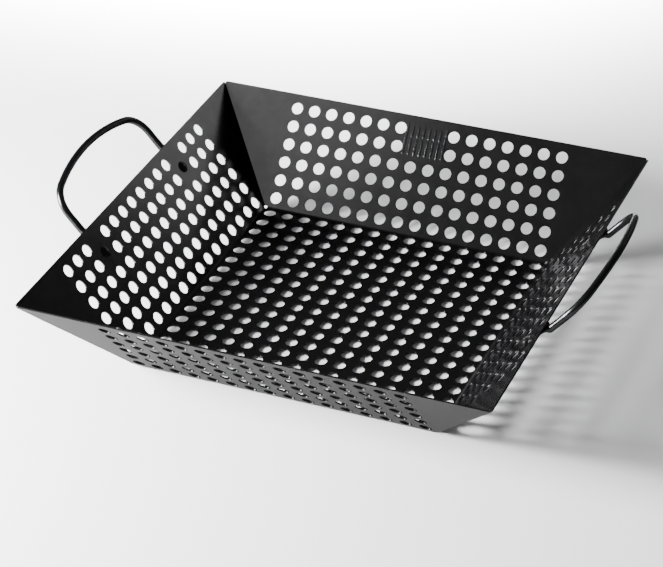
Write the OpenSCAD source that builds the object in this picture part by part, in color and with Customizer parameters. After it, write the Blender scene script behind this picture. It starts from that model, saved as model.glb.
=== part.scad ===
// Square grill basket of perforated sheet steel with two wire handles.
//
// The body is one sheet, punched on a square grid and folded up on four sides.
// It is drawn as five panels that meet at the fold lines: the floor, and four
// walls that each carry their own bend. Neighbouring walls butt together at the
// corners, where three tack welds hold each seam. A bent wire handle is riveted
// to the outside of the left and right walls through its flattened ends.
//
// Units are millimetres. The origin is the centre of the underside, +Z is up,
// the handles are on -X and +X, and the embossed panel is on the +Y wall.

/* [Sheet] */
// Thickness of the sheet
sheet_t = 0.8; // [0.6:0.1:1.2]
// Radius of the folds, on the inside
bend_r = 1.8; // [0.8:0.1:2.4]
// Gap between two walls along a corner seam
seam_gap = 0.2; // [0.1:0.05:0.4]

/* [Basket] */
// Width of the floor between opposite fold lines
floor_w = 202; // [200:1:206]
// Height of the walls measured up their slope, from fold line to rim
wall_len = 81; // [77:0.5:86]
// Slope of the walls, from the horizontal
wall_slope = 50.5; // [45:0.5:60]
// Radius of the walls' top corners
top_corner_r = 1.4; // [1:0.1:3]
// Diameter of the relief hole where three panels meet
relief_d = 3.4; // [3:0.2:5]

/* [Perforation] */
// Distance between hole centres, the same in both directions
pitch = 12.7; // [12.5:0.1:12.8]
// Diameter of the holes
hole_d = 8; // [6:0.1:9.5]
// Holes along one side of the floor, and along each wall
hole_count = 16; // [8:2:16]
// Rows of holes up each wall
wall_rows = 6; // [4:1:6]
// Distance from the fold line to the first row of holes in a wall
first_row = 7.5; // [6.5:0.1:8]

/* [Embossed panel] */
// Distance from the rim down to the panel
panel_drop = 6; // [4:0.5:7]
// Height of the two upright bars beside the panel
bar_len = 21; // [16:1:22]
// Distance between the two upright bars
bar_spacing = 27.8; // [27:0.2:29.5]
// Width of a raised rib
rib_w = 1.3; // [1:0.1:1.6]
// Height of a raised rib above the sheet
rib_h = 0.4; // [0.3:0.1:0.8]
// Ribs between the two bars
rib_count = 6; // [3:1:7]

/* [Handles] */
// Diameter of the handle wire
wire_d = 4.8; // [3:0.1:5]
// Angle of the handle's plane, from the horizontal
handle_slope = 49; // [45:1:50]
// Distance that the grip's middle stands beyond the rim
handle_reach = 36.7; // [36:0.1:50]
// Rise of the bowed grip between its corners and its middle
grip_bow = 11.1; // [6:0.1:14]
// Radius of the two corners of the handle, to the wire's centre
handle_corner_r = 18; // [12:0.1:20]
// Gap between the wall's outer face and the wire, at the rim
wire_clear = 1; // [0.6:0.1:2]
// Width of the flattened ends of the wire
paddle_w = 13.5; // [10:0.5:14]
// Thickness of the flattened ends
paddle_t = 1.5; // [0.9:0.1:1.6]
// Distance from the rim down to the shoulder of a flattened end
shoulder_drop = 1; // [0.5:0.5:7]
// Length over which the flattened end turns back into round wire
neck_len = 2; // [1.5:0.5:6]

/* [Rivets and welds] */
// Distance from the rim down to the rivets
rivet_drop = 19.2; // [17:0.2:21]
// Diameter of the rivets' shanks
rivet_d = 4; // [3.2:0.1:4.8]
// Diameter of the rivets' domed heads, inside the basket
rivet_head_d = 8; // [7:0.1:9]
// Height of the rivets' domed heads
rivet_head_h = 1.9; // [1.4:0.1:2.6]
// Diameter of the tack welds
weld_d = 2.4; // [2:0.1:3]

/* [Hidden] */
$fn = 48;
eps = 0.01;

// Each fold's two flat sides start this far from the fold line.
setback = bend_r * tan(wall_slope / 2);
half_floor = floor_w / 2;
half_rim = half_floor + wall_len * cos(wall_slope);
rim_z = sheet_t + wall_len * sin(wall_slope);

// The top edge and the seam edge of a wall meet at this angle.
corner_angle = 90 - atan(cos(wall_slope));
corner_tangent = top_corner_r / tan(corner_angle / 2);

// The rivets stand in the fourth column of holes from each end.
rivet_up = wall_len - rivet_drop;
rivet_side = (hole_count / 2 - 3.5) * pitch;
rivet_hole_d = rivet_d + 0.2;
rivet_tail_d = 1.6 * rivet_d;
rivet_tail_h = 0.4 * rivet_d;
// Radius of the sphere that the domed head is cut from.
dome_r = (pow(rivet_head_d / 2, 2) + pow(rivet_head_h, 2)) / (2 * rivet_head_h);

// Three tack welds on each seam, as parts of its length from the rim down.
WELD_AT = [0.14, 0.53, 0.92];
// Step from a seam's inner corner to the middle of the sheet's thickness.
weld_out = sheet_t / 2 * sin(wall_slope) / (1 + pow(cos(wall_slope), 2));
weld_down = 2 * weld_out / tan(wall_slope);

// The wire's centre lies this far outside the wall's inner face, at the rim.
wire_off = sheet_t + wire_clear + wire_d / 2;
// Handle wire in its own plane: v runs out from the rim, u along the wall.
leg_u = rivet_side;
bow_r = (pow(leg_u, 2) + pow(grip_bow, 2)) / (2 * grip_bow);
bow_v = handle_reach - bow_r;
// The corner arc's centre is tangent to the leg and to the bowed grip.
corner_u = leg_u - handle_corner_r;
corner_v = bow_v + sqrt(pow(bow_r - handle_corner_r, 2) - pow(corner_u, 2));
// Half angle that the bowed grip spans between the two corner arcs.
bow_half = atan2(corner_u, corner_v - bow_v);
neck_bottom = -shoulder_drop;
neck_top = neck_bottom + neck_len;

// Quarter turn that carries the +Y wall to each side of the basket.
TURN_BACK = 0;
TURN_LEFT = 90;
TURN_FRONT = 180;
TURN_RIGHT = 270;

coat = "#2a2a2c";
wire_black = "#1c1c1e";

// Lays a child drawn flat on the sloping inner face of the +Y wall.
// In the child's frame X runs along the wall, Y up its slope from the fold
// line, and Z into the basket, so the sheet lies from Z = -sheet_t to 0.
module on_wall(turn) {
  rotate([0, 0, turn])
    translate([0, half_floor, sheet_t])
      rotate([wall_slope, 0, 0])
        children();
}

// Round holes in a square grid, except at the places that skip names.
module hole_grid(columns, rows, skip) {
  for (i = [0:columns - 1], j = [0:rows - 1])
    if (len([for (place = skip) if (place == [i, j]) place]) == 0)
      translate([(i - (columns - 1) / 2) * pitch, j * pitch])
        circle(d = hole_d);
}

// Cross-section of a wall and its bend, in the plane across the fold.
// X runs out from the fold line and Y up. The bend joins the floor at its tip.
module wall_profile() {
  steps = 8;
  turn_at = [for (k = [0:steps]) wall_slope * k / steps];
  centre = [-setback, sheet_t + bend_r];
  up = [cos(wall_slope), sin(wall_slope)];
  out = [sin(wall_slope), -cos(wall_slope)];
  rim = [0, sheet_t] + wall_len * up;
  polygon(concat(
    [for (a = turn_at) centre + (bend_r + sheet_t) * [sin(a), -cos(a)]],
    [rim + sheet_t * out, rim],
    [for (k = [steps:-1:0]) centre + bend_r * [sin(turn_at[k]), -cos(turn_at[k])]]
  ));
}

// What is cut away, in the flat of a wall, to round one of its top corners.
module corner_cut() {
  margin = 4;
  centre = [half_rim - top_corner_r / tan(corner_angle / 2), wall_len - top_corner_r];
  seam_point = [half_rim, wall_len]
    - corner_tangent * [cos(corner_angle), sin(corner_angle)];
  difference() {
    polygon([
      centre, [centre[0], wall_len + margin],
      [half_rim + margin, wall_len + margin],
      [half_rim + margin, seam_point[1]], seam_point
    ]);
    translate(centre)
      circle(r = top_corner_r);
  }
}

// The quarter of the plan that belongs to the +Y wall, out to the corner seams.
module seam_wedge() {
  far = half_rim + 10;
  near = seam_gap / sqrt(2);
  linear_extrude(height = rim_z + 10)
    polygon([[0, near], [far - near, far], [-far + near, far]]);
}

// One wall of the basket, with its bend, holes and rounded corners.
// skip lists the grid places without a hole, and riveted adds two rivet holes.
module wall(turn, skip = [], riveted = false, embossed = false) {
  color(coat)
    difference() {
      rotate([0, 0, turn])
        intersection() {
          seam_wedge();
          translate([-half_rim, half_floor, 0])
            rotate([90, 0, 90])
              linear_extrude(height = 2 * half_rim)
                wall_profile();
        }
      on_wall(turn)
        translate([0, 0, -3 * sheet_t])
          linear_extrude(height = 5 * sheet_t) {
            translate([0, first_row])
              hole_grid(hole_count, wall_rows, skip);
            if (riveted)
              for (side = [-1, 1])
                translate([side * rivet_side, rivet_up])
                  circle(d = rivet_hole_d);
            for (side = [0, 1])
              mirror([side, 0])
                corner_cut();
          }
      relief_balls();
      for (corner = [0:3])
        tack_weld_shapes(corner);
    }
  if (embossed)
    color(coat)
      on_wall(turn)
        linear_extrude(height = rib_h)
          emboss_ribs();
}

// A rib with round ends, standing on its lower end.
module rib(length) {
  translate([-rib_w / 2, rib_w / 2])
    square([rib_w, length - rib_w]);
  for (y = [rib_w / 2, length - rib_w / 2])
    translate([0, y])
      circle(d = rib_w, $fn = 24);
}

// Two upright bars with a plain row of short ribs over a row of longer ones.
module emboss_ribs() {
  bottom = wall_len - panel_drop - bar_len;
  rib_step = bar_spacing / (rib_count + 1);
  for (side = [-1, 1])
    translate([side * bar_spacing / 2, bottom])
      rib(bar_len);
  for (k = [1:rib_count])
    translate([-bar_spacing / 2 + k * rib_step, bottom])
      rib(0.5 * bar_len);
  for (k = [1:rib_count])
    translate([-bar_spacing / 2 + k * rib_step, bottom + 0.58 * bar_len])
      rib(0.34 * bar_len);
}

// Balls that open the relief hole at each corner of the floor.
module relief_balls() {
  for (x = [-1, 1], y = [-1, 1])
    translate([x * half_floor, y * half_floor, sheet_t])
      sphere(d = relief_d);
}

// The three tack welds along one corner seam, for corners 0 to 3 from +X +Y.
module tack_weld_shapes(corner) {
  rotate([0, 0, corner * 90])
    for (part = WELD_AT) {
      across = half_rim - part * (half_rim - half_floor) + weld_out;
      height = rim_z - part * (rim_z - sheet_t) - weld_down;
      translate([across, across, height])
        sphere(d = weld_d);
    }
}

module tack_welds(corner) {
  color("#333336")
    tack_weld_shapes(corner);
}

// The two grid places at each rivet that have no hole, in the two top rows.
RIVET_SKIP = [
  for (i = [3, hole_count - 4], j = [wall_rows - 2, wall_rows - 1]) [i, j]
];
// The four grid places that the embossed panel takes up.
PANEL_SKIP = [
  for (i = [hole_count / 2 - 1, hole_count / 2], j = [wall_rows - 2, wall_rows - 1]) [i, j]
];

module floor_panel() {
  side = 2 * (half_floor - setback);
  color(coat)
    difference() {
      linear_extrude(height = sheet_t)
        difference() {
          square(side, center = true);
          translate([0, -(hole_count - 1) / 2 * pitch])
            hole_grid(hole_count, hole_count, []);
        }
      relief_balls();
    }
}

module front_wall() {
  wall(TURN_FRONT);
}

module back_wall() {
  wall(TURN_BACK, skip = PANEL_SKIP, embossed = true);
}

module left_wall() {
  wall(TURN_LEFT, skip = RIVET_SKIP, riveted = true);
}

module right_wall() {
  wall(TURN_RIGHT, skip = RIVET_SKIP, riveted = true);
}

// A straight length of handle wire along Y.
module wire_rod(length) {
  rotate([-90, 0, 0])
    cylinder(d = wire_d, h = length);
}

// An arc of handle wire in the XY plane, about the origin.
module wire_arc(radius, start, sweep) {
  rotate([0, 0, start])
    rotate_extrude(angle = sweep, $fn = 96)
      translate([radius, 0])
        circle(d = wire_d, $fn = 32);
}

// The bowed grip, its two corners and the round part of its two legs.
// X is along the wall, Y out from the rim, and the wire's centre is at Z = 0.
// Where two lengths meet, a ball a hair thicker than the wire knits them. Each
// ball's own axis runs along the wire.
module handle_loop() {
  corner_sweep = 90 - bow_half;
  ball_d = wire_d + 0.1;
  tangent = [corner_u, corner_v] + handle_corner_r * [sin(bow_half), cos(bow_half)];
  translate([0, bow_v])
    wire_arc(bow_r, 90 - bow_half, 2 * bow_half);
  for (side = [-1, 1]) {
    translate([side * leg_u, neck_top])
      wire_rod(corner_v - neck_top);
    translate([side * corner_u, corner_v])
      wire_arc(handle_corner_r, side > 0 ? 0 : 180 - corner_sweep, corner_sweep);
    for (joint = [[leg_u, neck_top, 0], [leg_u, corner_v, 0], [each tangent, corner_sweep]])
      translate([side * joint[0], joint[1]])
        rotate([-90, 0, side * joint[2]])
          sphere(d = ball_d);
  }
}

// Carries the handle's plane to its place beside the +Y wall's rim.
module at_rim() {
  translate([0, wall_len, -wire_off])
    rotate([handle_slope - wall_slope, 0, 0])
      children();
}

// Flattened end of the wire: a plate with a round end and a rivet hole.
module paddle() {
  top = wall_len - shoulder_drop;
  translate([0, 0, -sheet_t - paddle_t])
    linear_extrude(height = paddle_t)
      difference() {
        union() {
          translate([-paddle_w / 2, rivet_up])
            square([paddle_w, top - rivet_up]);
          translate([0, rivet_up])
            circle(d = paddle_w);
        }
        translate([0, rivet_up])
          circle(d = rivet_hole_d);
      }
}

// Transition from the flattened end to the round wire, stepping off the wall.
module neck() {
  hull() {
    translate([-paddle_w / 2, wall_len + neck_bottom, -sheet_t - paddle_t])
      cube([paddle_w, eps, paddle_t]);
    at_rim()
      translate([0, neck_top - eps, 0])
        rotate([-90, 0, 0])
          cylinder(d = wire_d, h = eps, $fn = 32);
  }
}

module handle(turn) {
  color(wire_black)
    on_wall(turn) {
      at_rim()
        handle_loop();
      for (side = [-1, 1])
        translate([side * leg_u, 0, 0]) {
          paddle();
          neck();
        }
    }
}

// Domed rivet: head inside the basket, shank, and a set tail on the paddle.
module rivet(turn, side) {
  grip = sheet_t + paddle_t;
  color("#202022")
    on_wall(turn)
      translate([side * rivet_side, rivet_up, 0]) {
        intersection() {
          translate([0, 0, rivet_head_h - dome_r])
            sphere(r = dome_r, $fn = 64);
          cylinder(d = rivet_head_d + 1, h = rivet_head_h + 1);
        }
        translate([0, 0, -grip])
          cylinder(d = rivet_d, h = grip);
        translate([0, 0, -grip - rivet_tail_h])
          cylinder(d1 = 0.8 * rivet_tail_d, d2 = rivet_tail_d, h = rivet_tail_h);
      }
}

floor_panel();
front_wall();
back_wall();
left_wall();
right_wall();
tack_welds(0);  // tack_welds_back_right
tack_welds(1);  // tack_welds_back_left
tack_welds(2);  // tack_welds_front_left
tack_welds(3);  // tack_welds_front_right
handle(TURN_LEFT);  // handle_left
handle(TURN_RIGHT);  // handle_right
rivet(TURN_LEFT, -1);  // rivet_left_front
rivet(TURN_LEFT, 1);  // rivet_left_back
rivet(TURN_RIGHT, 1);  // rivet_right_front
rivet(TURN_RIGHT, -1);  // rivet_right_back
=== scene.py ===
"""Square grill basket of perforated, folded sheet steel with two riveted wire handles.

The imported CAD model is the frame. Each CAD node is stood for by a finished mesh of the
same size: the folded sheet as one continuous shell with rounded hole edges, the two
handles as swept wire, the rivets as turned shapes and the tack welds as small beads.
The object's lengths are in millimetres, in the CAD model's axes, and become metres in
Builder.make(). The table, lights and camera are in metres.
"""

import math

import bmesh
import bpy
import numpy as np
from mathutils import Matrix, Vector
from mathutils.geometry import delaunay_2d_cdt


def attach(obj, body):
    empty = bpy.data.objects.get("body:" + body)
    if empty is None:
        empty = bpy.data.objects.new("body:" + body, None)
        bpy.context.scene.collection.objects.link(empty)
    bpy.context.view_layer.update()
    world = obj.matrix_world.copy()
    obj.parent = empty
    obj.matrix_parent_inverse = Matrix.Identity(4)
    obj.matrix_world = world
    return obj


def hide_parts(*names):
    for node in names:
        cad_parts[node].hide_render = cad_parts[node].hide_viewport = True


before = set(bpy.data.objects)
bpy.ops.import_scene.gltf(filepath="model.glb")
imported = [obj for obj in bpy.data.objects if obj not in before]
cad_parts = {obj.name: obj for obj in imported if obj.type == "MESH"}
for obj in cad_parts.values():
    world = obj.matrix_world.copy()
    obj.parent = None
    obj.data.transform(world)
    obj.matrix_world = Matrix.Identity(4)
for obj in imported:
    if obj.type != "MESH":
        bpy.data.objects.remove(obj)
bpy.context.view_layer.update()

MM = 0.001

# Sheet and basket
SHEET_T = 0.8
SHELL_T = 1  # the sheet with its coat, which lies on the outer face
BEND_R = 1.8
SEAM_GAP = -0.3  # the coat closes the hairline between two walls
FLOOR_W = 202
WALL_LEN = 81
WALL_SLOPE = math.radians(50.5)
TOP_CORNER_R = 1.4
RELIEF_R = 1.3
SEAM_START = 0.3  # the seam's edge is straight from this far past the relief hole
EDGE_R = 0.17  # rounding that the coat gives every free edge

# Perforation
PITCH = 12.7
HOLE_R = 4.0
HOLE_COUNT = 16
WALL_ROWS = 6
FIRST_ROW = 7.5

# Embossed panel
PANEL_DROP = 6
BAR_LEN = 21
BAR_SPACING = 27.8
RIB_W = 1.3
RIB_H = 0.4
RIB_COUNT = 6
LOW_RIB = 0.5  # length of the lower ribs, as a part of the bars' length
HIGH_RIB = 0.34  # the same for the upper ribs
HIGH_RIB_AT = 0.58  # where the upper ribs begin
RIB_PROFILE = (  # from foot to top: growth past the rib's side, height, tilt of the normal
    (0.22, 0, 0),
    (0.06, 0.1, 0.75),
    (-0.16, 0.32, 0.75),
    (-0.36, RIB_H, 0),
)

# Handles
WIRE_D = 4.8
HANDLE_SLOPE = math.radians(49)
HANDLE_REACH = 36.7
GRIP_BOW = 11.1
HANDLE_CORNER_R = 18
WIRE_CLEAR = 1
PADDLE_W = 13.5
PADDLE_T = 1.5
SHOULDER_DROP = 1
NECK_LEN = 2
TURN_BELOW = 1.8  # the flat begins to turn this far below its shoulder
NECK_SHORT = 1.2  # the neck ends this far below the CAD model's
FLAT_EDGE = 0.72  # thickness towards the tip of the flat, as a part of its full thickness
NARROW_FROM, NARROW_OVER = 0.1, 0.65  # parts of the neck where its width changes
SQUARE, ROUND = 4.5, 2  # exponents of the wire's section, flattened and round

# Rivets and welds
RIVET_DROP = 19.2
RIVET_HEAD_D = 8
RIVET_HEAD_H = 1.9
RIVET_SHANK_R = 2.1
RIVET_TAIL_D = 6.4
RIVET_TAIL_H = 1.6
WELD_AT = (0.14, 0.53, 0.92)  # parts of the seam, from the rim down
WELD_HALF = (1.3, 0.8, 0.5)  # a bead's half sizes: along the seam, across it, out of it

# Steps of the curves
HOLE_STEPS = 24
RELIEF_STEPS = 10
FLOOR_RELIEF_STEPS = 6
TOP_CORNER_STEPS = 8
BEND_STEPS = 8
RIB_END_STEPS = 6
TIP_STEPS = 12
FLAT_STEPS = 4
NECK_STEPS = 16
LEG_STEPS = 8
GRIP_CORNER_STEPS = 24
BOW_STEPS = 16
WIRE_STEPS = 32
DOME_STEPS = 12
TAIL_STEPS = 7
RIVET_STEPS = 48
WELD_RINGS = 12
WELD_STEPS = 24

# Worked out from those
COS, SIN = math.cos(WALL_SLOPE), math.sin(WALL_SLOPE)
SETBACK = BEND_R * math.tan(WALL_SLOPE / 2)
HALF_FLOOR = FLOOR_W / 2
HALF_RIM = HALF_FLOOR + WALL_LEN * COS
RIM_Z = SHEET_T + WALL_LEN * SIN
RIVET_UP = WALL_LEN - RIVET_DROP
RIVET_SIDE = (HOLE_COUNT / 2 - 3.5) * PITCH
WIRE_OFF = SHEET_T + WIRE_CLEAR + WIRE_D / 2
TURNS = {"back": 0, "left": 90, "front": 180, "right": 270}


# ---------------------------------------------------------------- mesh tools


class Builder:
    """Gathers vertices with their normals, and shares vertices that coincide."""

    def __init__(self):
        self.points, self.normals, self.faces, self.index = [], [], [], {}

    def add(self, points, normals):
        """The vertices' numbers. Points within a micrometre or so are one vertex."""
        found = []
        for p, n in zip(points, normals):
            key = (round(p[0], 3), round(p[1], 3), round(p[2], 3))
            if key not in self.index:
                self.index[key] = len(self.points)
                self.points.append(p)
                self.normals.append(n)
            found.append(self.index[key])
        return found

    def ring(self, points):
        """Adds vertices without normals, and without looking for shared ones."""
        start = len(self.points)
        self.points += list(points)
        return list(range(start, start + len(points)))

    def strip(self, rows, closed):
        """Quads between rows of vertices, each row as long as the others."""
        for a, b in zip(rows, rows[1:]):
            count = len(a)
            for i in range(count if closed else count - 1):
                j = (i + 1) % count
                quad = [a[i], a[j], b[j], b[i]]
                if len(set(quad)) > 2:
                    self.faces.append(list(dict.fromkeys(quad)))

    def make(self, name, material, own_normals=True):
        """A smooth piece in the scene, with the gathered normals or Blender's own."""
        points = np.array(self.points, float)
        faces = self.faces
        if own_normals:
            normals = np.array(self.normals, float)
            normals /= np.linalg.norm(normals, axis=1)[:, None]
            turned = []
            for f in faces:
                a, b, c = points[f[0]], points[f[1]], points[f[2]]
                facing = np.cross(b - a, c - a) @ normals[f].sum(0)
                turned.append(f if facing >= 0 else f[::-1])
            faces = turned
        mesh = bpy.data.meshes.new(name)
        mesh.from_pydata((points * MM).tolist(), [], faces)
        mesh.polygons.foreach_set("use_smooth", [True] * len(mesh.polygons))
        if own_normals:
            mesh.normals_split_custom_set_from_vertices(normals.tolist())
        mesh.materials.append(material)
        mesh.update()
        piece = bpy.data.objects.new(name, mesh)
        bpy.context.scene.collection.objects.link(piece)
        return piece


def turn_matrix(degrees):
    """Rotation about Z."""
    a = math.radians(degrees)
    return np.array([[math.cos(a), -math.sin(a), 0], [math.sin(a), math.cos(a), 0], [0, 0, 1]])


def heading(a):
    """Unit vector at an angle in the plane."""
    return np.array([math.cos(a), math.sin(a)])


def smooth(x):
    """Smooth step from 0 to 1."""
    x = min(1.0, max(0.0, x))
    return x * x * (3 - 2 * x)


def face_out(piece):
    """Turns all faces of a closed mesh so that they look out."""
    mesh = bmesh.new()
    mesh.from_mesh(piece.data)
    bmesh.ops.recalc_face_normals(mesh, faces=mesh.faces)
    mesh.to_mesh(piece.data)
    mesh.free()


# ---------------------------------------------------------------- the folded sheet


class Place:
    """Where a flat stretch of the sheet lies: its own x, y and the way out of its inner face."""

    def __init__(self, axes, origin):
        self.axes, self.origin = axes, np.array(origin, float)

    def points(self, flat):
        return np.asarray(flat, float) @ self.axes.T + self.origin

    def ways(self, flat):
        return np.asarray(flat, float) @ self.axes.T


def floor_place():
    """The floor's inner face, from its middle."""
    return Place(np.eye(3), (0, 0, SHEET_T))


def wall_place(turn):
    """A wall's inner face, from the middle of its fold line. Its own y is up the slope."""
    spin = turn_matrix(turn)
    tilt = np.array([[1, 0, 0], [0, COS, -SIN], [0, SIN, COS]])
    return Place(spin @ tilt, spin @ np.array([0, HALF_FLOOR, SHEET_T]))


# Across a free edge: inset from the edge, depth below the inner face, and the normal's
# parts out of the edge and out of the inner face.
HALF = math.sqrt(0.5)
EDGE = (
    (EDGE_R, 0, 0, 1),
    (EDGE_R * (1 - HALF), -EDGE_R * (1 - HALF), HALF, HALF),
    (0, -EDGE_R, 1, 0),
    (0, EDGE_R - SHELL_T, 1, 0),
    (EDGE_R * (1 - HALF), EDGE_R * (1 - HALF) - SHELL_T, HALF, -HALF),
    (EDGE_R, -SHELL_T, 0, -1),
)


def wall_side(inset):
    """Up the +X side of a wall in its own plane: relief hole, seam edge and top corner.
    Each point comes with the direction out of the sheet."""
    radius = RELIEF_R + inset
    centre = np.array([HALF_FLOOR, 0.0])
    along = np.array([COS, 1.0]) / math.hypot(COS, 1)
    out = np.array([1.0, -COS]) / math.hypot(COS, 1)
    # where the seam's edge leaves the relief hole
    start = centre - (SEAM_GAP / 2 + inset) * out
    part = (start - centre) @ along
    reach = -part + math.sqrt(part**2 - ((start - centre) @ (start - centre) - radius**2))
    meet = start + reach * along
    first = math.atan2(SETBACK, -math.sqrt(radius**2 - SETBACK**2))
    last = math.atan2(*(meet - centre)[::-1])
    side = []
    for k in range(RELIEF_STEPS + 1):
        way = heading(first + (last - first) * k / RELIEF_STEPS)
        side.append((centre + radius * way, -way))
    side.append((meet + SEAM_START * along, out))
    corner = centre - (SEAM_GAP / 2 + TOP_CORNER_R) * out
    corner = corner + (WALL_LEN - TOP_CORNER_R - corner[1]) / along[1] * along
    from_a = math.atan2(out[1], out[0])
    for k in range(TOP_CORNER_STEPS + 1):
        way = heading(from_a + (math.pi / 2 - from_a) * k / TOP_CORNER_STEPS)
        side.append((corner + (TOP_CORNER_R - inset) * way, way))
    return side


def wall_outline(inset):
    """Round a wall's free edge: up its +X side, over the rim and down its -X side."""
    side = wall_side(inset)
    other = [(p * (-1, 1), n * (-1, 1)) for p, n in reversed(side)]
    return side + other


def floor_corner(inset, turn):
    """The relief arc at one corner of the floor, from one fold line to the next."""
    radius = RELIEF_R + inset
    near = math.sqrt(radius**2 - SETBACK**2)
    first, last = math.atan2(-near, -SETBACK), math.atan2(-SETBACK, -near)
    spin = turn_matrix(turn)[:2, :2]
    arc = []
    for k in range(FLOOR_RELIEF_STEPS + 1):
        way = heading(first + (last - first) * k / FLOOR_RELIEF_STEPS)
        arc.append((spin @ (np.array([HALF_FLOOR, HALF_FLOOR]) + radius * way), spin @ -way))
    return arc


def lift(flat, ways, depth, edge_part, face_part):
    """Two-column points and directions of an edge, as three-column ones at a depth."""
    points = np.column_stack([flat, np.full(len(flat), depth)])
    normals = np.column_stack([np.asarray(ways) * edge_part, np.full(len(flat), face_part)])
    return points, normals


def edge_rows(builder, place, outline_at):
    """The rounded free edge along an outline, from the inner face to the outer face."""
    rows = []
    for inset, depth, edge_part, face_part in EDGE:
        pairs = outline_at(inset)
        points, normals = lift(
            [p for p, _ in pairs], [n for _, n in pairs], depth, edge_part, face_part
        )
        rows.append(builder.add(place.points(points), place.ways(normals)))
    return rows


def hole_outline(centre, radius):
    """Round a hole. Each point comes with the direction out of the sheet, into the hole."""
    turn = np.arange(HOLE_STEPS) * 2 * math.pi / HOLE_STEPS
    ways = np.column_stack([np.cos(turn), np.sin(turn)])
    return list(zip(np.asarray(centre) + radius * ways, -ways))


def hole_edges(builder, place, holes):
    """The rounded edge of each hole."""
    for centre in holes:
        rows = edge_rows(builder, place, lambda q, at=centre: hole_outline(at, HOLE_R + q))
        builder.strip(rows, closed=True)


def rib_loops(x, bottom, length):
    """A pressed rib with round ends: from its foot up to its flat top."""
    loops = []
    r = RIB_W / 2
    for grow, height, tilt in RIB_PROFILE:
        flat, ways = [], []
        for end, first in ((length - r, 0), (r, math.pi)):
            for k in range(RIB_END_STEPS + 1):
                way = heading(first + math.pi * k / RIB_END_STEPS)
                flat.append(np.array([x, bottom + end]) + (r + grow) * way)
                ways.append(way)
        loops.append((flat, np.array(ways) * tilt, height))
    return loops


NOT_A_HOLE = -1  # tag of a loop that has sheet on both sides, or is the outline


def face_pair(builder, place, outline, holes, ribs=()):
    """Fills the inner and the outer face of a flat stretch of sheet around its holes.
    The loops of its outline, holes and ribs become the edges of a triangulation."""
    plane, exact, rise, lean, group, edges = [], [], [], [], [], []

    def loop(points, leans, height, tag):
        start = len(plane)
        for i, p in enumerate(points):
            plane.append(Vector((float(p[0]), float(p[1]))))
            exact.append(np.asarray(p, float))
            rise.append(height)
            lean.append(leans[i])
            group.append(tag)
            edges.append((start + i, start + (i + 1) % len(points)))

    upright = np.zeros(2)
    loop(outline, [upright] * len(outline), 0.0, NOT_A_HOLE)
    for tag, centre in enumerate(holes):
        circle = [p for p, _ in hole_outline(centre, HOLE_R + EDGE_R)]
        loop(circle, [upright] * len(circle), 0.0, tag)
    for rib in ribs:
        for points, leans, height in rib:
            loop(points, leans, height, NOT_A_HOLE)
    _, _, triangles, origin, _, _ = delaunay_2d_cdt(plane, edges, [], 1, 1e-6)
    points = np.column_stack([exact, rise])
    normals = np.column_stack([lean, np.ones(len(lean))])
    inner = builder.add(place.points(points), place.ways(normals))
    outer = builder.add(place.points(points - (0, 0, SHELL_T)), place.ways(-normals))
    for triangle in triangles:
        corners = [origin[i][0] for i in triangle]
        tags = {group[i] for i in corners}
        if len(tags) == 1 and tags != {NOT_A_HOLE}:
            continue  # all its corners are on one hole, so it would fill the hole
        builder.faces.append([inner[i] for i in corners])
        builder.faces.append([outer[i] for i in corners])


def grid(columns, rows, first, skip=()):
    """Centres of the holes, except at the grid places that skip names."""
    return [
        ((i - (columns - 1) / 2) * PITCH, first + j * PITCH)
        for i in range(columns)
        for j in range(rows)
        if (i, j) not in skip
    ]


TOP_ROWS = (WALL_ROWS - 2, WALL_ROWS - 1)
PANEL_SKIP = [(i, j) for i in (HOLE_COUNT // 2 - 1, HOLE_COUNT // 2) for j in TOP_ROWS]
RIVET_SKIP = [(i, j) for i in (3, HOLE_COUNT - 4) for j in TOP_ROWS]
SKIP = {"back": PANEL_SKIP, "left": RIVET_SKIP, "front": [], "right": RIVET_SKIP}


def panel_ribs():
    """Two upright bars, and between them pairs of ribs one above the other."""
    bottom = WALL_LEN - PANEL_DROP - BAR_LEN
    step = BAR_SPACING / (RIB_COUNT + 1)
    ribs = [rib_loops(side * BAR_SPACING / 2, bottom, BAR_LEN) for side in (-1, 1)]
    for k in range(1, RIB_COUNT + 1):
        x = -BAR_SPACING / 2 + k * step
        ribs.append(rib_loops(x, bottom, LOW_RIB * BAR_LEN))
        ribs.append(rib_loops(x, bottom + HIGH_RIB_AT * BAR_LEN, HIGH_RIB * BAR_LEN))
    return ribs


def bend_end(inset):
    """How far from the wall's middle a fold ends, at the relief hole."""
    return HALF_FLOOR - math.sqrt((RELIEF_R + inset) ** 2 - SETBACK**2)


def bend_line(u, end_part, depth, face_part):
    """Across a fold, from the floor to the wall, at a distance u from its middle."""
    points, normals = [], []
    r = BEND_R - depth
    for k in range(BEND_STEPS + 1):
        a = WALL_SLOPE * k / BEND_STEPS
        points.append((
            u,
            HALF_FLOOR - SETBACK + r * math.sin(a),
            SHEET_T + BEND_R - r * math.cos(a),
        ))
        normals.append((end_part, -face_part * math.sin(a), face_part * math.cos(a)))
    return np.array(points), np.array(normals)


def bend(builder, turn):
    """The fold between the floor and a wall: its two free ends, then its two faces."""
    spin = turn_matrix(turn)

    def row(u, end_part, depth, face_part):
        points, normals = bend_line(u, end_part, depth, face_part)
        return builder.add(points @ spin.T, normals @ spin.T)

    for side in (-1, 1):
        rows = [
            row(side * bend_end(inset), side * edge_part, depth, face_part)
            for inset, depth, edge_part, face_part in EDGE
        ]
        builder.strip(rows, closed=False)
    for inset, depth, _, face_part in (EDGE[0], EDGE[-1]):
        rows = [row(side * bend_end(inset), 0, depth, face_part) for side in (-1, 1)]
        builder.strip(rows, closed=False)


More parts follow.
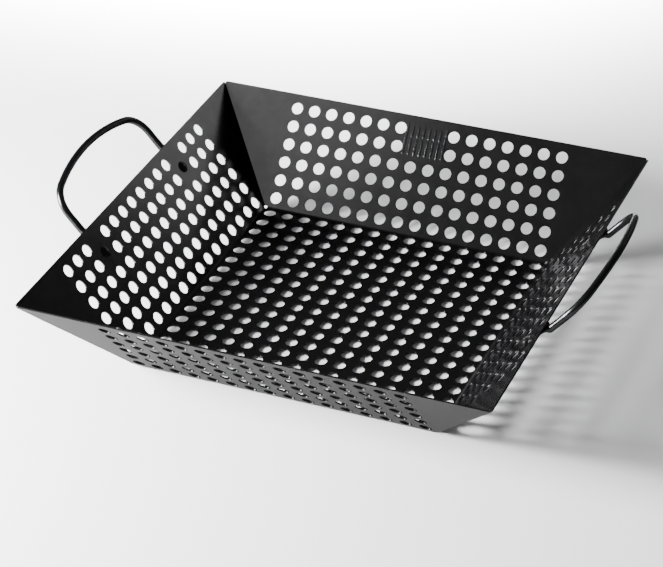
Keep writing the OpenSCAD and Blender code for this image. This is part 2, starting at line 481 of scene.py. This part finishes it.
def folded_sheet(material):
    """Floor, walls and folds as one closed shell."""
    builder = Builder()
    place = floor_place()
    holes = grid(HOLE_COUNT, HOLE_COUNT, -(HOLE_COUNT - 1) / 2 * PITCH)
    outline = []
    for turn in (0, 90, 180, 270):
        outline += [p for p, _ in floor_corner(EDGE_R, turn)]
        builder.strip(
            edge_rows(builder, place, lambda q, turn=turn: floor_corner(q, turn)), closed=False
        )
    face_pair(builder, place, outline, holes)
    hole_edges(builder, place, holes)
    for name, turn in TURNS.items():
        place = wall_place(turn)
        holes = grid(HOLE_COUNT, WALL_ROWS, FIRST_ROW, SKIP[name])
        builder.strip(edge_rows(builder, place, wall_outline), closed=False)
        outline = [p for p, _ in wall_outline(EDGE_R)]
        face_pair(builder, place, outline, holes, panel_ribs() if name == "back" else ())
        hole_edges(builder, place, holes)
        bend(builder, turn)
    return builder.make("folded_sheet", material)


# ---------------------------------------------------------------- handles


# A handle is a row of stations along its wire, in the wall's own axes. Each station has
# the section's centre, the wire's direction, the section's half width and half
# thickness, and its exponent.
HANDLE_TILT = HANDLE_SLOPE - WALL_SLOPE
HANDLE_OUT = np.array([0, math.cos(HANDLE_TILT), math.sin(HANDLE_TILT)])
HANDLE_NORMAL = np.array([0, -math.sin(HANDLE_TILT), math.cos(HANDLE_TILT)])
HANDLE_RIM = np.array([0, WALL_LEN, -WIRE_OFF])
UP_WALL = np.array([0, 1, 0])
WIRE_R = WIRE_D / 2
FLAT_HALF_W, FLAT_HALF_T = PADDLE_W / 2, PADDLE_T / 2
FLAT_AT = -SHEET_T - FLAT_HALF_T
FLAT_TOP = WALL_LEN - SHOULDER_DROP - TURN_BELOW
NECK_TOP = NECK_LEN - SHOULDER_DROP - NECK_SHORT


def flat_stations():
    """The flattened end on the wall: its round tip, then its straight sides."""
    stations = []
    for k in range(1, TIP_STEPS + 1):
        a = math.pi / 2 * k / TIP_STEPS
        centre = (RIVET_SIDE, RIVET_UP - FLAT_HALF_W * math.cos(a), FLAT_AT)
        thick = FLAT_EDGE + (1 - FLAT_EDGE) * smooth(k / 3)
        stations.append((centre, UP_WALL, FLAT_HALF_W * math.sin(a), FLAT_HALF_T * thick, SQUARE))
    for k in range(1, FLAT_STEPS + 1):
        centre = (RIVET_SIDE, RIVET_UP + (FLAT_TOP - RIVET_UP) * k / FLAT_STEPS, FLAT_AT)
        stations.append((centre, UP_WALL, FLAT_HALF_W, FLAT_HALF_T, SQUARE))
    return stations


def neck_stations():
    """The flat narrows, thickens and steps off the wall, along a cubic curve."""
    begin = np.array([RIVET_SIDE, FLAT_TOP, FLAT_AT])
    end = HANDLE_RIM + np.array([RIVET_SIDE, 0, 0]) + HANDLE_OUT * NECK_TOP
    span = np.linalg.norm(end - begin)
    leave, arrive = span * UP_WALL, span * HANDLE_OUT
    stations = []
    for k in range(1, NECK_STEPS + 1):
        t = k / NECK_STEPS
        centre = (
            (2 * t**3 - 3 * t**2 + 1) * begin
            + (t**3 - 2 * t**2 + t) * leave
            + (-2 * t**3 + 3 * t**2) * end
            + (t**3 - t**2) * arrive
        )
        way = (
            (6 * t**2 - 6 * t) * (begin - end)
            + (3 * t**2 - 4 * t + 1) * leave
            + (3 * t**2 - 2 * t) * arrive
        )
        wide, thick = smooth((t - NARROW_FROM) / NARROW_OVER), smooth(t)
        stations.append((
            centre,
            way,
            FLAT_HALF_W + (WIRE_R - FLAT_HALF_W) * wide,
            FLAT_HALF_T + (WIRE_R - FLAT_HALF_T) * thick,
            SQUARE + (ROUND - SQUARE) * thick,
        ))
    return stations


def grip_stations():
    """Leg, corner and half of the bowed grip, in the handle's own plane."""
    bow_r = (RIVET_SIDE**2 + GRIP_BOW**2) / (2 * GRIP_BOW)
    bow_v = HANDLE_REACH - bow_r
    corner_u = RIVET_SIDE - HANDLE_CORNER_R
    corner_v = bow_v + math.sqrt((bow_r - HANDLE_CORNER_R) ** 2 - corner_u**2)
    bow_half = math.atan2(corner_u, corner_v - bow_v)
    sweep = math.pi / 2 - bow_half
    stations = []

    def station(u, v, du, dv):
        centre = HANDLE_RIM + np.array([u, 0, 0]) + HANDLE_OUT * v
        way = np.array([du, 0, 0]) + HANDLE_OUT * dv
        stations.append((centre, way, WIRE_R, WIRE_R, ROUND))

    for k in range(1, LEG_STEPS + 1):
        station(RIVET_SIDE, NECK_TOP + (corner_v - NECK_TOP) * k / LEG_STEPS, 0, 1)
    for k in range(1, GRIP_CORNER_STEPS + 1):
        a = sweep * k / GRIP_CORNER_STEPS
        c, s = math.cos(a), math.sin(a)
        station(corner_u + HANDLE_CORNER_R * c, corner_v + HANDLE_CORNER_R * s, -s, c)
    for k in range(1, BOW_STEPS + 1):
        a = bow_half * (1 - k / BOW_STEPS)
        c, s = math.cos(a), math.sin(a)
        station(bow_r * s, bow_v + bow_r * c, -c, s)
    return stations


def section(centre, way, half_w, half_t, exponent):
    """A closed ring of points round the wire, from a circle to a rounded rectangle."""
    way = way / np.linalg.norm(way)
    side = np.cross(way, HANDLE_NORMAL)
    side /= np.linalg.norm(side)
    up = np.cross(side, way)
    power = 2 / exponent
    points = []
    for k in range(WIRE_STEPS):
        a = 2 * math.pi * k / WIRE_STEPS
        c, s = math.cos(a), math.sin(a)
        points.append(centre + side * half_w * math.copysign(abs(c) ** power, c)
                      + up * half_t * math.copysign(abs(s) ** power, s))
    return points


def handle(name, turn, material):
    """A bent wire with flattened ends, swept from its +X end to its -X end."""
    half = flat_stations() + neck_stations() + grip_stations()
    other = [
        (np.array(centre) * (-1, 1, 1), np.array(way) * (1, -1, -1), half_w, half_t, exponent)
        for centre, way, half_w, half_t, exponent in reversed(half[:-1])
    ]
    place = wall_place(turn)
    builder = Builder()
    rows = []
    for centre, way, half_w, half_t, exponent in half + other:
        ring = section(np.array(centre, float), np.array(way, float), half_w, half_t, exponent)
        rows.append(builder.ring(place.points(ring)))
    builder.strip(rows, closed=True)
    builder.faces.append(rows[0][::-1])
    builder.faces.append(rows[-1])
    piece = builder.make(name, material, own_normals=False)
    face_out(piece)
    return piece


# ---------------------------------------------------------------- rivets and welds


def rivet_profile():
    """Radius and height above the sheet's inner face, from the dome to the set tail."""
    head_r, tail_r = RIVET_HEAD_D / 2, RIVET_TAIL_D / 2
    dome_r = (head_r**2 + RIVET_HEAD_H**2) / (2 * RIVET_HEAD_H)
    seat = -SHEET_T - PADDLE_T
    end = seat - RIVET_TAIL_H
    profile = [(0, RIVET_HEAD_H)]
    for k in range(1, DOME_STEPS + 1):
        r = head_r * 0.965 * k / DOME_STEPS
        profile.append((r, RIVET_HEAD_H - dome_r + math.sqrt(dome_r**2 - r**2)))
    # rolled edge of the head, shank, and the tail's own edge
    profile += [
        (head_r * 0.992, 0.16),
        (head_r, 0.08),
        (head_r * 0.99, 0),
        (RIVET_SHANK_R, 0),
        (RIVET_SHANK_R, seat),
        (tail_r * 0.97, seat),
        (tail_r, seat - 0.12),
        (tail_r, seat - 0.4),
    ]
    for k in range(1, TAIL_STEPS + 1):
        a = math.pi / 2 * k / TAIL_STEPS
        r = tail_r - 0.95 * (1 - math.cos(a))
        profile.append((r, seat - 0.4 - (RIVET_TAIL_H - 0.45) * math.sin(a)))
    # dimple that the setting tool leaves
    profile += [(1.6, end + 0.03), (1.25, end + 0.12), (0.7, end + 0.34), (0, end + 0.4)]
    return profile


def rivet(name, turn, side, material):
    """The profile turned about the rivet's axis. side is the end of the wall it stands at."""
    place = wall_place(turn)
    builder = Builder()
    around = np.arange(RIVET_STEPS) * 2 * math.pi / RIVET_STEPS
    upright = np.tile((0, 0, 1), (RIVET_STEPS, 1))
    rows = []
    for r, height in rivet_profile():
        points = np.column_stack([
            side * RIVET_SIDE + r * np.cos(around),
            RIVET_UP + r * np.sin(around),
            np.full(RIVET_STEPS, height),
        ])
        rows.append(builder.add(place.points(points), place.ways(upright)))
    builder.strip(rows, closed=True)
    piece = builder.make(name, material, own_normals=False)
    face_out(piece)
    return piece


def weld_beads(name, corner, material):
    """Three small beads along a corner seam, each a little different."""
    spin = turn_matrix(corner * 90)
    builder = Builder()
    run, climb = HALF_RIM - HALF_FLOOR, RIM_Z - SHEET_T
    along = np.array([run, run, climb])
    along /= np.linalg.norm(along)
    across = np.array([1, -1, 0]) / math.sqrt(2)
    out = np.cross(along, across)
    sunk = SHEET_T / 2 * SIN / (1 + COS**2)
    for n, part in enumerate(WELD_AT):
        width = HALF_RIM - part * run + sunk
        height = RIM_Z - part * climb - 2 * sunk / math.tan(WALL_SLOPE)
        centre = np.array([width, width, height])
        seed = 1.7 * corner + 2.3 * n
        rows = []
        for j in range(1, WELD_RINGS):
            b = math.pi * j / WELD_RINGS
            ring = []
            for k in range(WELD_STEPS):
                a = 2 * math.pi * k / WELD_STEPS
                way = (math.cos(b), math.sin(b) * math.cos(a), math.sin(b) * math.sin(a))
                lump = 1 + 0.1 * math.sin(3 * a + seed) * math.sin(2 * b + seed)
                lump += 0.06 * math.sin(5 * a - seed)
                bead = sum(h * w * v for h, w, v in zip(WELD_HALF, way, (along, across, out)))
                ring.append(spin @ (centre + lump * bead))
            rows.append(builder.ring(ring))
        builder.strip(rows, closed=True)
        builder.faces.append(rows[0])
        builder.faces.append(rows[-1])
    piece = builder.make(name, material, own_normals=False)
    face_out(piece)
    return piece


# ---------------------------------------------------------------- materials


def nodes_of(owner):
    """The emptied node tree of a material or a world."""
    owner.use_nodes = True
    tree = owner.node_tree
    tree.nodes.clear()
    return tree


CLOUD_SCALE = 160
SHEEN_SCALE = 38


def noise(tree, coords, scale, detail, roughness=0.5):
    node = tree.nodes.new("ShaderNodeTexNoise")
    node.inputs["Scale"].default_value = scale
    node.inputs["Detail"].default_value = detail
    node.inputs["Roughness"].default_value = roughness
    tree.links.new(coords, node.inputs["Vector"])
    return node.outputs["Fac"]


def ramp(tree, value, low, high, to_low, to_high):
    """Maps low to high onto to_low to to_high, with soft ends."""
    node = tree.nodes.new("ShaderNodeMapRange")
    node.interpolation_type = "SMOOTHSTEP"
    node.inputs["From Min"].default_value = low
    node.inputs["From Max"].default_value = high
    node.inputs["To Min"].default_value = to_low
    node.inputs["To Max"].default_value = to_high
    tree.links.new(value, node.inputs["Value"])
    return node.outputs["Result"]


def black_coat(name, dark, light, rough, grain, grain_depth, metal, edge):
    """Black coating: fine grain, faint cloudiness and uneven sheen. It is mostly metallic,
    with an edge tint that keeps grazing reflections low."""
    material = bpy.data.materials.new(name)
    tree = nodes_of(material)
    new, link = tree.nodes.new, tree.links.new
    coords = new("ShaderNodeTexCoord").outputs["Object"]
    shader = new("ShaderNodeBsdfPrincipled")
    out = new("ShaderNodeOutputMaterial")
    link(shader.outputs["BSDF"], out.inputs["Surface"])
    shader.inputs["Metallic"].default_value = metal
    shader.inputs["Specular Tint"].default_value = (edge, edge, edge, 1)
    mix = new("ShaderNodeMix")
    mix.data_type = "RGBA"
    mix.inputs["A"].default_value = (*dark, 1)
    mix.inputs["B"].default_value = (*light, 1)
    clouds = noise(tree, coords, CLOUD_SCALE, 5)
    link(ramp(tree, clouds, 0.35, 0.7, 0, 1), mix.inputs["Factor"])
    link(mix.outputs["Result"], shader.inputs["Base Color"])
    sheen = noise(tree, coords, SHEEN_SCALE, 6, 0.6)
    link(ramp(tree, sheen, 0.3, 0.7, *rough), shader.inputs["Roughness"])
    bump = new("ShaderNodeBump")
    bump.inputs["Strength"].default_value = 1.0
    bump.inputs["Distance"].default_value = grain_depth
    link(noise(tree, coords, grain, 2), bump.inputs["Height"])
    link(bump.outputs["Normal"], shader.inputs["Normal"])
    return material


coat = black_coat(
    "non_stick_coat", dark=(0.036, 0.036, 0.037), light=(0.041, 0.0405, 0.041),
    rough=(0.14, 0.17), grain=1400, grain_depth=0.000007, metal=0.955, edge=0.36)
wire_coat = black_coat(
    "wire_enamel", dark=(0.026, 0.026, 0.0268), light=(0.032, 0.032, 0.0328),
    rough=(0.2, 0.26), grain=700, grain_depth=0.00002, metal=0.93, edge=0.3)
rivet_coat = black_coat(
    "rivet_coat", dark=(0.014, 0.014, 0.0144), light=(0.018, 0.018, 0.0184),
    rough=(0.2, 0.28), grain=900, grain_depth=0.00003, metal=0.7, edge=0.5)
weld_coat = black_coat(
    "weld_coat", dark=(0.037, 0.036, 0.036), light=(0.05, 0.049, 0.047),
    rough=(0.3, 0.38), grain=1200, grain_depth=0.00008, metal=0.8, edge=0.45)


# ---------------------------------------------------------------- the object

shell = folded_sheet(coat)
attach(shell, "root")
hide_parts("floor_panel", "front_wall", "back_wall", "left_wall", "right_wall")

for side_name in ("left", "right"):
    piece = handle("wire_handle_" + side_name, TURNS[side_name], wire_coat)
    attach(piece, "root")
    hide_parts("handle_" + side_name)

for side_name, end_name, side in (
    ("left", "front", -1), ("left", "back", 1), ("right", "front", 1), ("right", "back", -1),
):
    piece = rivet(f"dome_rivet_{side_name}_{end_name}", TURNS[side_name], side, rivet_coat)
    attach(piece, "root")
    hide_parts(f"rivet_{side_name}_{end_name}")

for corner, corner_name in enumerate(("back_right", "back_left", "front_left", "front_right")):
    piece = weld_beads("weld_beads_" + corner_name, corner, weld_coat)
    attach(piece, "root")
    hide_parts("tack_welds_" + corner_name)


# ---------------------------------------------------------------- floor, light and camera


TABLE_HALF = 8.0
TABLE_Z = -0.001  # a hair under the basket, so that light gets under the floor


def table():
    """A large pale table, which can't be seen from below."""
    mesh = bpy.data.meshes.new("table")
    corners = [(x * TABLE_HALF, y * TABLE_HALF, TABLE_Z)
               for x, y in ((-1, -1), (1, -1), (1, 1), (-1, 1))]
    mesh.from_pydata(corners, [], [(0, 1, 2, 3)])
    material = bpy.data.materials.new("pale_table")
    tree = nodes_of(material)
    new, link = tree.nodes.new, tree.links.new
    shader = new("ShaderNodeBsdfPrincipled")
    shader.inputs["Base Color"].default_value = (0.8, 0.8, 0.805, 1)
    shader.inputs["Roughness"].default_value = 0.6
    clear = new("ShaderNodeBsdfTransparent")
    facing = new("ShaderNodeNewGeometry")
    mix = new("ShaderNodeMixShader")
    out = new("ShaderNodeOutputMaterial")
    link(facing.outputs["Backfacing"], mix.inputs["Fac"])
    link(shader.outputs["BSDF"], mix.inputs[1])
    link(clear.outputs["BSDF"], mix.inputs[2])
    link(mix.outputs["Shader"], out.inputs["Surface"])
    mesh.materials.append(material)
    floor = bpy.data.objects.new("table", mesh)
    bpy.context.scene.collection.objects.link(floor)


def softbox(name, at, target, width, tall, power, spread=180):
    """A soft rectangular light that looks at a target. Power is in watts, spread in degrees."""
    data = bpy.data.lights.new(name, "AREA")
    data.shape = "RECTANGLE"
    data.size, data.size_y = width, tall
    data.energy = power
    data.spread = math.radians(spread)
    light = bpy.data.objects.new(name, data)
    light.location = at
    light.rotation_mode = "QUATERNION"
    light.rotation_quaternion = (Vector(target) - Vector(at)).to_track_quat("-Z", "Y")
    light.visible_camera = False
    bpy.context.scene.collection.objects.link(light)


def studio():
    """Even, dim surroundings. The camera sees them as pale."""
    world = bpy.data.worlds.new("studio")
    bpy.context.scene.world = world
    tree = nodes_of(world)
    new, link = tree.nodes.new, tree.links.new
    dim = new("ShaderNodeBackground")
    dim.inputs["Color"].default_value = (0.14, 0.14, 0.141, 1)
    pale = new("ShaderNodeBackground")
    pale.inputs["Color"].default_value = (3.5, 3.5, 3.55, 1)
    seen = new("ShaderNodeLightPath")
    pick = new("ShaderNodeMixShader")
    sky = new("ShaderNodeOutputWorld")
    link(seen.outputs["Is Camera Ray"], pick.inputs["Fac"])
    link(dim.outputs["Background"], pick.inputs[1])
    link(pale.outputs["Background"], pick.inputs[2])
    link(pick.outputs["Shader"], sky.inputs["Surface"])


def add_camera(at, look, roll, lens):
    """A camera that looks along a direction, rolled by some degrees about it."""
    data = bpy.data.cameras.new("camera")
    data.sensor_width = 36
    data.lens = lens
    data.clip_end = 60
    camera = bpy.data.objects.new("camera", data)
    bpy.context.scene.collection.objects.link(camera)
    look = Vector(look).normalized()
    level = look.cross(Vector((0, 0, 1))).normalized()
    rise = level.cross(look)
    roll = math.radians(roll)
    right = level * math.cos(roll) + rise * math.sin(roll)
    up = right.cross(look)
    axes = Matrix((right, up, -look)).transposed().to_4x4()
    camera.matrix_world = Matrix.Translation(at) @ axes
    bpy.context.scene.camera = camera


table()
# name, place, target, width, height, power
softbox("key_light", (-0.82, -0.47, 0.34), (0, 0, 0.02), 0.4, 0.46, 125)
softbox("fill_light", (-1.03, -1.07, 1.34), (0, 0, 0.05), 0.66, 0.7, 3)
softbox("table_light", (-0.97, 0.87, 0.45), (-0.97, 0.88, 0), 1.7, 0.48, 735, spread=102)
softbox("back_card", (-0.3, 1.3, 0.28), (-0.3, 0, 0.28), 1.2, 0.54, 3.4)
softbox("corner_card", (0.52, 1.3, 0.45), (0.52, 0, 0.45), 0.64, 0.56, 3)
softbox("fold_card", (-0.86, 1.32, 0.5), (0.1, -0.1, 0), 0.5, 0.26, 8)
studio()
add_camera(
    at=(0.55183, -1.30207, 0.93046), look=(-0.33325, 0.77275, -0.54019), roll=-1.32, lens=143.15)
